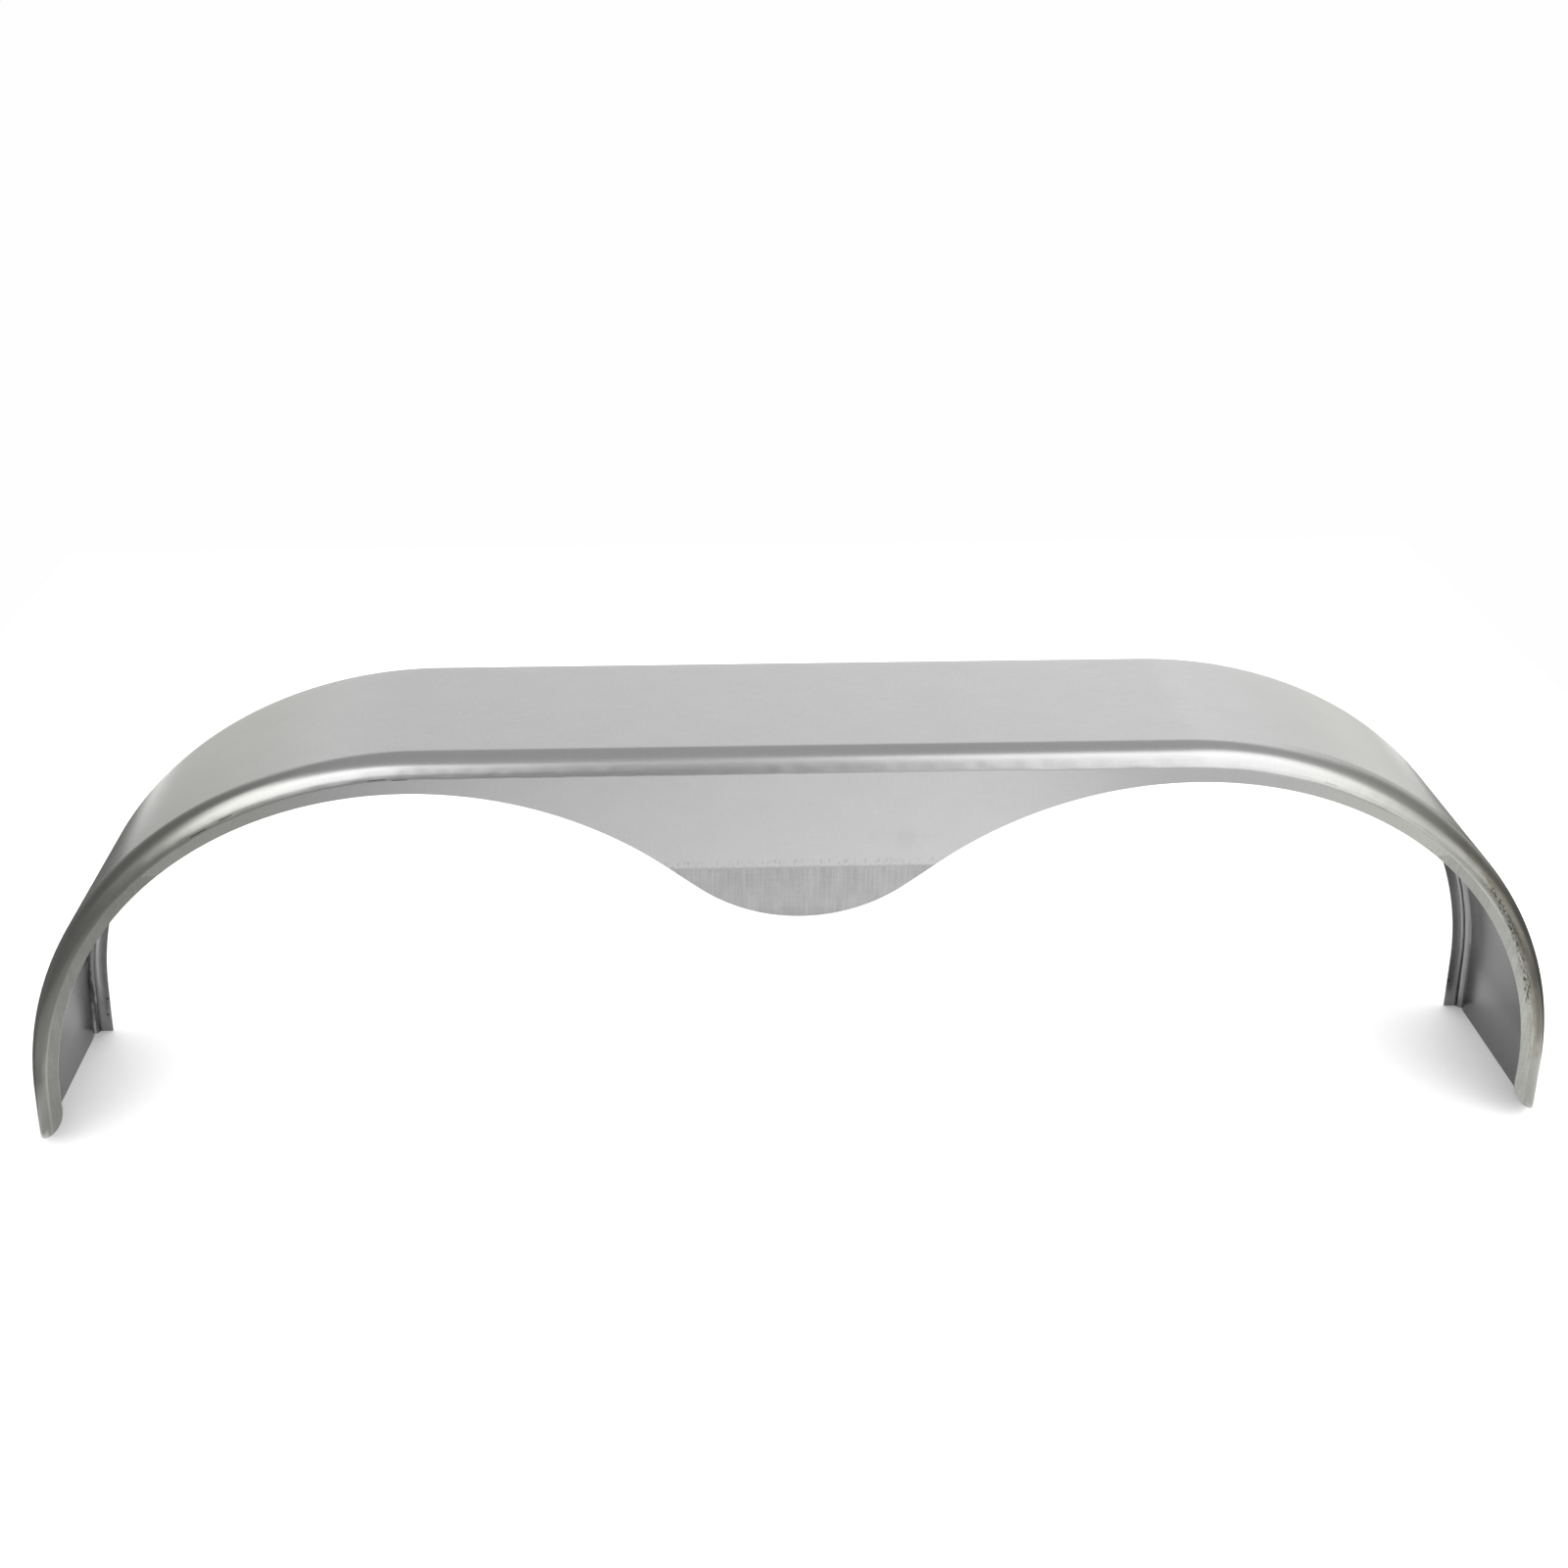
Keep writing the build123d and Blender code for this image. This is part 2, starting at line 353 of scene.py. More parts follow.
def handling_marks(tree, along, across, inside):
    """Tint of the marks by the bead: a film on both legs, and a brown smear and pits on the right one."""
    place = add(tree, "ShaderNodeCombineXYZ", {"X": along, "Y": across})

    # A faint warm film on the outer face of both shoulders and legs
    from_middle = add(tree, "ShaderNodeMath", {0: along}, operation="ABSOLUTE")
    film = add(tree, "ShaderNodeMapRange", {"Value": from_middle, "From Min": 0.50, "From Max": 0.66})
    film = add(tree, "ShaderNodeMath", {0: film, 1: inside}, operation="SUBTRACT", use_clamp=True)

    # A brown smear with ragged edges lies on the bead, and reaches nearer to the seam as it goes down
    ragged = noise(tree, place, (0.045, 0.012), Detail=3.0)
    ragged = add(tree, "ShaderNodeMath", {0: ragged, 1: 0.016}, operation="MULTIPLY")
    ragged_along = add(tree, "ShaderNodeMath", {0: along, 1: ragged}, operation="ADD")
    ragged_across = add(tree, "ShaderNodeMath", {0: across, 1: ragged}, operation="ADD")
    lowered = add(
        tree,
        "ShaderNodeMapRange",
        {"Value": along, "From Min": 0.78, "From Max": 0.97, "To Min": -0.008, "To Max": 0.004},
    )
    ragged_across = add(tree, "ShaderNodeMath", {0: ragged_across, 1: lowered}, operation="ADD")
    smear = patch(
        tree, ragged_along, (0.66, 0.86, 1.122, 1.132), ragged_across, (-0.001, 0.009, 0.036, 0.060)
    )
    blotches = noise(tree, place, (0.022, 0.008), Detail=2.0)
    blotches = add(tree, "ShaderNodeMath", {0: blotches, 1: 1.0}, operation="ADD")
    smear = add(tree, "ShaderNodeMath", {0: smear, 1: blotches}, operation="MULTIPLY", use_clamp=True)

    # Pits follow a line that sinks from the bead to the seam
    pit_line = add(
        tree,
        "ShaderNodeMapRange",
        {"Value": along, "From Min": 0.82, "From Max": 1.04, "To Min": 0.009, "To Max": -0.003},
    )
    from_line = add(tree, "ShaderNodeMath", {0: across, 1: pit_line}, operation="SUBTRACT")
    by_line = patch(
        tree, from_line, (-0.0036, -0.0010, 0.0025, 0.0075), along, (0.81, 0.87, 1.02, 1.06)
    )
    pits = noise(tree, place, (0.0070, 0.0022), Detail=3.0)
    pits = add(tree, "ShaderNodeMapRange", {"Value": pits, "From Min": 0.0, "From Max": 0.06})
    pits = add(tree, "ShaderNodeMath", {0: pits, 1: by_line}, operation="MULTIPLY")

    # Each mark takes its own share of the red, green and blue
    tint = (1.0, 1.0, 1.0)
    for mask, loss in (film, (0.0, -0.01, 0.06)), (smear, (0.43, 0.46, 0.51)), (pits, (0.68, 0.70, 0.72)):
        part = add(tree, "ShaderNodeVectorMath", {0: loss, "Scale": mask.outputs[0]}, operation="SCALE")
        part = add(tree, "ShaderNodeVectorMath", {0: (1.0, 1.0, 1.0), 1: part}, operation="SUBTRACT")
        tint = add(tree, "ShaderNodeVectorMath", {0: tint, 1: part}, operation="MULTIPLY")
    return tint


# Cold-rolled steel, bare as it left the rolls. It gives the eye a satin grey that mirrors the studio softly,
# with faint streaks along the strip, 30 mm by 1.1 mm, crossed by fine ticks, 14 mm by 1.6 mm. The real grain
# is finer and is drawn as coarse as it needs to show.
steel_grey = linear("BCBCBC")[:3]
strip_steel, tree = new_material("cold_rolled_steel")
along = add(tree, "ShaderNodeAttribute", attribute_name="along").outputs["Fac"]
across = add(tree, "ShaderNodeAttribute", attribute_name="across").outputs["Fac"]
inside = add(tree, "ShaderNodeAttribute", attribute_name="inside").outputs["Fac"]
on_sheet = add(tree, "ShaderNodeCombineXYZ", {"X": along, "Y": across})
streaks = noise(tree, on_sheet, (0.030, 0.0011), Detail=2.0)
ticks = noise(tree, on_sheet, (0.0016, 0.014), Detail=1.0)
clouds = noise(tree, on_sheet, (0.060, 0.040), Detail=2.0)
tone = shade(tree, 1.0, streaks, 1.12)
tone = shade(tree, tone, ticks, 1.08)
tone = shade(tree, tone, clouds, 1.06)

# Painted shade darkens the inner face of the sheet, the flange hardly so, and more on stretches of each leg
on_flange = add(
    tree,
    "ShaderNodeMapRange",
    {"Value": across, "From Min": 0.2445, "From Max": 0.2460, "To Min": 0.0, "To Max": 0.95},
)
off_flange = add(tree, "ShaderNodeMath", {0: 1.0, 1: on_flange}, operation="SUBTRACT")
inner_sheet = add(tree, "ShaderNodeMath", {0: inside, 1: off_flange}, operation="MULTIPLY")
tone = shade(tree, tone, inner_sheet, 0.36)
off_root = window(tree, across, 0.0, 0.020, 0.195, 0.215)
off_root = add(tree, "ShaderNodeMath", {0: off_root, 1: inner_sheet}, operation="MULTIPLY")
painted_leg_shade = (
    ((0.90, 1.00, 1.12, 1.17), 0.60),
    ((0.98, 1.03, 1.06, 1.11), 0.74),
    ((-1.17, -1.14, -1.05, -0.96), 0.80),
)
for along_edges, kept in painted_leg_shade:
    leg_shade_mask = window(tree, along, *along_edges)
    leg_shade_mask = add(tree, "ShaderNodeMath", {0: leg_shade_mask, 1: off_root}, operation="MULTIPLY")
    tone = shade(tree, tone, leg_shade_mask, kept)

# Painted shade darkens the flange at both feet, on the left one along a slanting edge
right_flange_shade = add(tree, "ShaderNodeMapRange", {"Value": along, "From Min": 1.12, "From Max": 1.19})
right_flange_shade = add(tree, "ShaderNodeMath", {0: right_flange_shade, 1: on_flange}, operation="MULTIPLY")
tone = shade(tree, tone, right_flange_shade, 0.55)
slant = add(tree, "ShaderNodeMath", {0: across, 1: 0.25}, operation="SUBTRACT")
slant = add(tree, "ShaderNodeMath", {0: slant, 1: 4.0, 2: along}, operation="MULTIPLY_ADD")
left_flange_shade = add(tree, "ShaderNodeMapRange", {"Value": slant, "From Min": -1.14, "From Max": -1.17})
left_flange_shade = add(tree, "ShaderNodeMath", {0: left_flange_shade, 1: on_flange}, operation="MULTIPLY")
tone = shade(tree, tone, left_flange_shade, 0.56)

# The ridge in the flange root has a painted highlight, weaker on the left leg. Beside the flange it has a
# dark crease of painted shade, which fades out down the left leg.
ridge_highlight = window(tree, across, 0.2340, 0.2360, 0.2415, 0.2425)
ridge_highlight = add(tree, "ShaderNodeMath", {0: ridge_highlight, 1: inside}, operation="MULTIPLY")
ridge_highlight_strength = add(
    tree, "ShaderNodeMapRange", {"Value": along, "From Min": -0.95, "From Max": -0.80, "To Min": 0.5}
)
ridge_highlight = add(tree, "ShaderNodeMath", {0: ridge_highlight, 1: ridge_highlight_strength}, operation="MULTIPLY")
tone = shade(tree, tone, ridge_highlight, 1.7)
crease = window(tree, across, 0.2425, 0.2432, 0.2440, 0.2450)
crease = add(tree, "ShaderNodeMath", {0: crease, 1: inside}, operation="MULTIPLY")
crease_shade_strength = add(
    tree,
    "ShaderNodeMapRange",
    {"Value": along, "From Min": -1.03, "From Max": -1.10, "To Min": 1.0, "To Max": 0.1},
)
crease = add(tree, "ShaderNodeMath", {0: crease, 1: crease_shade_strength}, operation="MULTIPLY")
tone = shade(tree, tone, crease, 0.4)

# On the left leg painted shade draws the root as a dark jagged line that nears the flange towards the foot.
# Painted shade dims the ridge beside it, and painted light brightens the sheet beside it at the very foot.
jags = noise(tree, on_sheet, (0.011, 0.020), Detail=3.0)
root_line = add(
    tree,
    "ShaderNodeMapRange",
    {"Value": along, "From Min": -1.12, "From Max": -1.20, "To Min": 0.2362, "To Max": 0.2408},
)
from_root = add(tree, "ShaderNodeMath", {0: across, 1: root_line}, operation="SUBTRACT")
from_root = add(tree, "ShaderNodeMath", {0: jags, 1: 0.005, 2: from_root}, operation="MULTIPLY_ADD")
left_root_shade = patch(tree, from_root, (-0.0026, -0.0013, 0.0013, 0.0026), along, (-1.235, -1.205, -1.09, -1.05))
left_root_shade = add(tree, "ShaderNodeMath", {0: left_root_shade, 1: inside}, operation="MULTIPLY")
tone = shade(tree, tone, left_root_shade, 0.33)
left_ridge_shade = patch(tree, across, (0.2355, 0.2370, 0.2420, 0.2430), along, (-1.18, -1.15, -1.09, -1.06))
left_ridge_shade = add(tree, "ShaderNodeMath", {0: left_ridge_shade, 1: inside}, operation="MULTIPLY")
tone = shade(tree, tone, left_ridge_shade, 0.70)
foot_corner_light = window(tree, across, 0.222, 0.230, 0.2385, 0.2400)
foot_corner_light = add(tree, "ShaderNodeMath", {0: foot_corner_light, 1: inside}, operation="MULTIPLY")
low_left = add(tree, "ShaderNodeMapRange", {"Value": along, "From Min": -1.195, "From Max": -1.215})
foot_corner_light = add(tree, "ShaderNodeMath", {0: foot_corner_light, 1: low_left}, operation="MULTIPLY")
tone = shade(tree, tone, foot_corner_light, 2.0)

# Dark spots on the inner side of the flange, near the feet
for spot_along, spot_across in (1.1837, 0.2599), (-1.1733, 0.2592), (-1.2000, 0.2578):
    away = add(
        tree, "ShaderNodeVectorMath", {0: on_sheet, 1: (spot_along, spot_across, 0.0)}, operation="DISTANCE"
    )
    dark_spot = add(
        tree, "ShaderNodeMapRange", {"Value": away.outputs["Value"], "From Min": 0.0025, "From Max": 0.0010}
    )
    dark_spot = add(tree, "ShaderNodeMath", {0: dark_spot, 1: inside}, operation="MULTIPLY")
    tone = shade(tree, tone, dark_spot, 0.3)

# Marks on the outer face, each with its edges along the strip, its edges across it and the factor by which
# it darkens or brightens the steel: painted shade on the upper part of the bead on the right shoulder,
# painted shade that dims the bead's highlight at the right foot, a stain above that, a painted highlight
# along the seam on the right shoulder, and painted shade that dims the bead's highlight at the left foot
outer_marks_and_painted_light = [
    # painted shade on the upper part of the bead, right shoulder
    ((0.50, 0.67, 0.76, 0.90), (0.022, 0.033, 0.042, 0.050), 0.50),
    # painted shade dimming the bead's highlight at the right foot
    ((1.120, 1.130, 2.0, 3.0), (-0.003, 0.003, 0.036, 0.060), 0.64),
    ((0.97, 1.01, 1.085, 1.115), (0.003, 0.010, 0.030, 0.045), 0.68),
    # painted highlight along the seam, right shoulder
    ((0.66, 0.70, 0.86, 0.92), (-0.0010, 0.0003, 0.0024, 0.0042), 1.28),
    # painted shade dimming the bead's highlight at the left foot
    ((-3.0, -2.0, -1.125, -1.075), (0.001, 0.004, 0.014, 0.026), 0.69),
]

# Hairline cracks where the ground weld shows through: where each starts and ends, and how far above the seam
cracks = (
    (-0.468, -0.450, 0.0026),
    (-0.441, -0.426, 0.0008),
    (-0.647, -0.632, 0.0046),
    (-0.688, -0.668, 0.0032),
)
for start, end, height in cracks:
    crack_across = (height - 0.0008, height - 0.0003, height + 0.0003, height + 0.0008)
    outer_marks_and_painted_light.append(((start - 0.002, start, end, end + 0.002), crack_across, 0.35))
for along_edges, across_edges, kept in outer_marks_and_painted_light:
    mark_or_painted_light = patch(tree, along, along_edges, across, across_edges)
    mark_or_painted_light = add(tree, "ShaderNodeMath", {0: mark_or_painted_light, 1: inside}, operation="SUBTRACT", use_clamp=True)
    tone = shade(tree, tone, mark_or_painted_light, kept)

# A scratch low on the bead, and a painted highlight: a slightly brighter band across the strip, where the
# crown turns into the right shoulder
scratch = patch(tree, along, (0.574, 0.578, 0.590, 0.594), across, (0.0040, 0.0048, 0.0054, 0.0062))
tone = shade(tree, tone, scratch, 0.80)
turn_highlight = window(tree, along, 0.405, 0.442, 0.446, 0.485)
tone = shade(tree, tone, turn_highlight, 1.03)
marks = handling_marks(tree, along, across, inside)
colour = add(tree, "ShaderNodeVectorMath", {0: steel_grey, "Scale": tone.outputs[0]}, operation="SCALE")
colour = add(tree, "ShaderNodeVectorMath", {0: colour, 1: marks}, operation="MULTIPLY")
steel = add(tree, "ShaderNodeBsdfPrincipled", {"Metallic": 1.0, "Roughness": 0.25, "Base Color": colour})
add(tree, "ShaderNodeOutputMaterial", {"Surface": steel})

stations = 521
modifier = strip.modifiers.new("roll_forming", "NODES")
modifier.node_group = forming
sockets = {s.name: s.identifier for s in forming.interface.items_tree if s.in_out == "INPUT"}
for name, size in sizes.items():
    modifier[sockets[name]] = size
modifier[sockets["Stations"]] = stations
modifier[sockets["Material"]] = strip_steel
depsgraph = bpy.context.evaluated_depsgraph_get()
strip_mesh = bpy.data.meshes.new_from_object(strip.evaluated_get(depsgraph), depsgraph=depsgraph)
strip.modifiers.remove(modifier)
strip.data = strip_mesh
sharp_angle = radians(35)
strip_mesh.polygons.foreach_set("use_smooth", [True] * len(strip_mesh.polygons))
strip_mesh.set_sharp_from_angle(angle=sharp_angle)
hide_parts("arch_strip")
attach(strip, "root")

# Front apron
# A flat plate of the same steel, cut to the wheel cut-outs and the lobe between them. Its upper edge is
# butt-welded to the rolled bead and the weld is ground flush.

apron_low, apron_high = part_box("front_apron")
lobe_depth = 0.2075
lobe_radius = 0.185
lobe_flank = 0.047
lobe_centre = Vector((0, strip_height - lobe_depth + lobe_radius))
lobe_to_top = cutout_top - lobe_centre
inner_radius = lobe_to_top.length_squared - lobe_radius**2 - lobe_flank**2
inner_radius /= 2 * (lobe_radius + lobe_to_top.y)
inner_centre = cutout_top - Vector((0, inner_radius))
lobe_to_inner = inner_centre - lobe_centre
flank_angle = atan2(lobe_to_inner.y, lobe_to_inner.x) - atan2(lobe_flank, inner_radius + lobe_radius)
flank_normal = Vector((cos(flank_angle), sin(flank_angle)))
flank_low = lobe_centre + flank_normal * lobe_radius
flank_high = inner_centre - flank_normal * inner_radius


def lower_edge(x):
    """Height of the apron's lower edge under the crown."""
    if x < flank_low.x:
        return lobe_centre.y - sqrt(lobe_radius**2 - x**2)
    if x < flank_high.x:
        return flank_low.y + (x - flank_low.x) * (flank_high.y - flank_low.y) / (flank_high.x - flank_low.x)
    return inner_centre.y + sqrt(inner_radius**2 - (x - inner_centre.x) ** 2)


def to_circle(start, direction, circle_centre, radius):
    """How far from a point, along a direction, a circle is left."""
    offset = circle_centre - start
    ahead = offset.dot(direction)
    return ahead + sqrt(radius**2 - offset.length_squared + ahead**2)


# Pairs of points on the upper and the lower edge, from the middle to the right foot, each with its distance
# from the middle along the strip
crown_steps = 70
shoulder_steps = 90
edge_pairs = []
for i in range(crown_steps + 1):
    x = crown_half * i / crown_steps
    edge_pairs.append((x, Vector((x, strip_height - bead_radius)), Vector((x, lower_edge(x)))))
shoulder_centre = Vector((crown_half, strip_height - shoulder_radius))
for i in range(1, shoulder_steps + 1):
    turned = shoulder_turn * i / shoulder_steps
    spoke = Vector((sin(turned), cos(turned)))
    upper = shoulder_centre + spoke * (shoulder_radius - bead_radius)
    lower = shoulder_centre + spoke * to_circle(shoulder_centre, spoke, wheel_centre, cutout_radius)
    edge_pairs.append((crown_half + shoulder_radius * turned, upper, lower))
leg_upper = leg_top - leg_out * bead_radius
corner_from = (corner_start - leg_top).dot(leg_down)
corner_to = corner_along + sqrt(corner_radius**2 - (corner_beyond + bead_radius) ** 2)
leg_steps = 4
corner_steps = 14
downs = [corner_from * i / leg_steps for i in range(1, leg_steps + 1)]
for i in range(1, corner_steps + 1):
    downs.append(corner_from + (corner_to - corner_from) * sin(pi / 2 * i / corner_steps))
for down in downs:
    upper = leg_upper + leg_down * down
    if down > corner_from + 1e-6:
        inset = sqrt(max(corner_radius**2 - (down - corner_along) ** 2, 0)) - corner_beyond
        lower = leg_top + leg_down * down - leg_out * inset
    else:
        lower = upper + leg_out * to_circle(upper, leg_out, wheel_centre, cutout_radius)
    edge_pairs.append((crown_half + shoulder_radius * shoulder_turn + down, upper, lower))
left_pairs = [(-s, Vector((-a.x, a.y)), Vector((-b.x, b.y))) for s, a, b in edge_pairs[:0:-1]]
edge_pairs = left_pairs + edge_pairs

points = []
plate_values = {"along": [], "across": [], "inside": []}
for y in (apron_low.y, apron_high.y):
    for distance, upper, lower in edge_pairs:
        points += [(upper.x, y, upper.y), (lower.x, y, lower.y)]
        plate_values["along"] += [distance, distance]
        plate_values["across"] += [0.0, -(upper - lower).length]
        plate_values["inside"] += [float(y == apron_high.y)] * 2
back = 2 * len(edge_pairs)
faces = []
for a in range(0, back - 2, 2):
    b = a + 1
    faces += [
        (a, b, b + 2, a + 2),
        (a + back, a + 2 + back, b + 2 + back, b + back),
        (a, a + 2, a + 2 + back, a + back),
        (b, b + back, b + 2 + back, b + 2),
    ]
apron_mesh = bpy.data.meshes.new("front_plate")
apron_mesh.from_pydata(points, [], faces)
for name, numbers in plate_values.items():
    apron_mesh.attributes.new(name, "FLOAT", "POINT").data.foreach_set("value", numbers)
apron_mesh.validate()
apron_mesh.polygons.foreach_set("use_smooth", [True] * len(apron_mesh.polygons))
apron_mesh.set_sharp_from_angle(angle=sharp_angle)
apron = bpy.data.objects.new("front_plate", apron_mesh)
bpy.context.scene.collection.objects.link(apron)

# Laser-cut steel plate, bare as it left the bed. It gives the eye the strip's satin grey, a little flatter,
# with level rolling streaks, 30 mm by 1.2 mm, crossed by upright ticks, 14 mm by 1.6 mm. The real grain is
# finer and is drawn as coarse as it needs to show.
apron_steel, tree = new_material("laser_cut_steel_plate")
plate_place = add(tree, "ShaderNodeTexCoord").outputs["Object"]
plate_spot = add(tree, "ShaderNodeSeparateXYZ", {0: plate_place}).outputs
on_plate = add(tree, "ShaderNodeCombineXYZ", {"X": plate_spot["X"], "Y": plate_spot["Z"]})
streaks = noise(tree, on_plate, (0.030, 0.0012), Detail=2.0)
ticks = noise(tree, on_plate, (0.0016, 0.014), Detail=1.0)
clouds = noise(tree, on_plate, (0.060, 0.040), Detail=2.0)
tone = shade(tree, 1.0, streaks, 1.10)
tone = shade(tree, tone, ticks, 1.08)
tone = shade(tree, tone, clouds, 1.06)

# Below this height the plate is darker, in upright strokes, across the lobe and on the legs
darker_band_edge = 0.390
strokes = noise(tree, on_plate, (0.0019, 0.070), Detail=3.0)
uneven = add(tree, "ShaderNodeMath", {0: strokes, 1: 0.005}, operation="MULTIPLY")
uneven = add(tree, "ShaderNodeMath", {0: plate_spot["Z"], 1: uneven}, operation="SUBTRACT")
darker_band = window(tree, uneven, 0.0, 0.001, darker_band_edge - 0.002, darker_band_edge)
darker_band_tone = shade(tree, 0.76, strokes, 1.5)
darker_band_tone = shade(tree, darker_band_tone, noise(tree, on_plate, (0.016, 0.026), Detail=2.0), 1.25)
darker_band_tone = shade(tree, darker_band_tone, noise(tree, on_plate, (0.022, 0.0016), Detail=2.0), 1.2)
darker_band_tone = add(tree, "ShaderNodeMix", {0: darker_band, 2: 1.0, 3: darker_band_tone})
tone = add(tree, "ShaderNodeMath", {0: tone, 1: darker_band_tone}, operation="MULTIPLY")

# Short strokes overshoot the edge, the tip of the lobe is darker, and a faint smudge lies high on the right
overshoots = noise(tree, on_plate, (0.0019, 0.0080), Detail=1.0)
overshoots = add(tree, "ShaderNodeMapRange", {"Value": overshoots, "From Min": 0.06, "From Max": 0.16})
past_edge = window(tree, plate_spot["Z"], darker_band_edge - 0.002, darker_band_edge, 0.395, 0.401)
overshoots = add(tree, "ShaderNodeMath", {0: overshoots, 1: past_edge}, operation="MULTIPLY")
tone = shade(tree, tone, overshoots, 0.80)
lobe_tip = add(tree, "ShaderNodeMapRange", {"Value": plate_spot["Z"], "From Min": 0.338, "From Max": 0.324})
on_lobe = window(tree, plate_spot["X"], -0.20, -0.19, 0.19, 0.20)
lobe_tip = add(tree, "ShaderNodeMath", {0: lobe_tip, 1: on_lobe}, operation="MULTIPLY")
tone = shade(tree, tone, lobe_tip, 0.88)
away = add(tree, "ShaderNodeVectorMath", {0: on_plate, 1: (0.1136, 0.4239, 0.0)}, operation="DISTANCE")
smudge = add(
    tree, "ShaderNodeMapRange", {"Value": away.outputs["Value"], "From Min": 0.016, "From Max": 0.004}
)
tone = shade(tree, tone, smudge, 0.95)

# Painted shade darkens the back of the plate, as it does the inner face of the strip
along = add(tree, "ShaderNodeAttribute", attribute_name="along").outputs["Fac"]
across = add(tree, "ShaderNodeAttribute", attribute_name="across").outputs["Fac"]
inside = add(tree, "ShaderNodeAttribute", attribute_name="inside").outputs["Fac"]
tone = shade(tree, tone, inside, 0.40)
marks = handling_marks(tree, along, across, inside)
colour = add(tree, "ShaderNodeVectorMath", {0: steel_grey, "Scale": tone.outputs[0]}, operation="SCALE")
colour = add(tree, "ShaderNodeVectorMath", {0: colour, 1: marks}, operation="MULTIPLY")
steel = add(tree, "ShaderNodeBsdfPrincipled", {"Metallic": 1.0, "Roughness": 0.3, "Base Color": colour})
add(tree, "ShaderNodeOutputMaterial", {"Surface": steel})
apron.data.materials.append(apron_steel)
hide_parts("front_apron")
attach(apron, "root")

# Floor and studio
# The mudguard stands on a matt white floor under one broad overhead light. Bare steel shows what is round
# it, so soft boxes and a lit wall stand there, and grey cards on the floor show in its reflections only.


def flat_sheet(name, rectangles, height):
    """Level rectangles in one mesh, each given as its left, right, near and far edge."""
    corners = []
    for left, right, near, far in rectangles:
        corners += [(left, near, height), (right, near, height), (right, far, height), (left, far, height)]
    sides = [(i, i + 1, i + 2, i + 3) for i in range(0, len(corners), 4)]
    mesh = bpy.data.meshes.new(name)
    mesh.from_pydata(corners, [], sides)
    flat_object = bpy.data.objects.new(name, mesh)
    bpy.context.scene.collection.objects.link(flat_object)
    return flat_object


# Matt white paint: it gives the eye an even, pale ground with no gloss
floor = flat_sheet("floor", [(-1.5, 1.5, -1.7, 1.8)], 0.0)
floor_paint, tree = new_material("matt_white_floor")
white = {"Base Color": linear("F2F2F2"), "Roughness": 0.9, "Specular IOR Level": 0.0}
add(tree, "ShaderNodeOutputMaterial", {"Surface": add(tree, "ShaderNodeBsdfPrincipled", white)})
floor.data.materials.append(floor_paint)

# Matt grey card, painted lighter and darker from left to right and lighter near the mudguard. It gives the
# bead and the apron the grey bands that they mirror.
card_height = 0.0005
graded_card = flat_sheet(
    "graded_card",
    [(-1.7, 1.7, -1.7, -0.13), (-1.7, -0.93, -0.13, -0.07), (0.93, 1.7, -0.13, -0.03)],
    card_height,
)
card_paint, tree = new_material("graded_card_paint")
card_place = add(tree, "ShaderNodeTexCoord").outputs["Object"]
card_spot = add(tree, "ShaderNodeSeparateXYZ", {0: card_place}).outputs
graded_half = 1.5
card_share = add(
    tree, "ShaderNodeMapRange", {"Value": card_spot["X"], "From Min": -graded_half, "From Max": graded_half}
)
grades = add(tree, "ShaderNodeValToRGB", {0: card_share})
greys_by_x = {
    -1.48: 0.06,
    -1.30: 0.13,
    -1.06: 0.15,
    -0.99: 0.38,
    -0.92: 0.26,
    -0.84: 0.23,
    -0.50: 0.49,
    -0.30: 0.53,
    0.00: 0.60,
    0.50: 0.68,
    0.62: 0.40,
    0.90: 0.46,
    1.02: 0.56,
    1.20: 0.38,
    1.45: 0.14,
}
ramp = grades.color_ramp
while len(ramp.elements) < len(greys_by_x):
    ramp.elements.new(0.5)
for element, (x, grey) in zip(ramp.elements, greys_by_x.items()):
    element.position = (x + graded_half) / (2 * graded_half)
    element.color = (grey, grey, grey, 1)
near_lift = add(
    tree,
    "ShaderNodeMapRange",
    {"Value": card_spot["Y"], "From Min": -0.8, "From Max": -0.35, "To Min": 1.0, "To Max": 1.25},
)
grades = add(tree, "ShaderNodeVectorMath", {0: grades, "Scale": near_lift.outputs[0]}, operation="SCALE")
matt = add(tree, "ShaderNodeBsdfDiffuse", {"Color": grades})
add(tree, "ShaderNodeOutputMaterial", {"Surface": matt})
graded_card.data.materials.append(card_paint)

# Matt dark grey card beside and behind both legs: it gives their outer sides a dark floor to mirror
dark_cards = flat_sheet("dark_cards", [(-3.0, -0.93, -0.07, 1.0), (0.93, 3.0, -0.03, 1.0)], card_height)
dark_paint, tree = new_material("dark_card_paint")
matt = add(tree, "ShaderNodeBsdfDiffuse", {"Color": linear("555555")})
add(tree, "ShaderNodeOutputMaterial", {"Surface": matt})
dark_cards.data.materials.append(dark_paint)
for card in (graded_card, dark_cards):
    card.visible_camera = False
    card.visible_diffuse = False
    card.visible_shadow = False

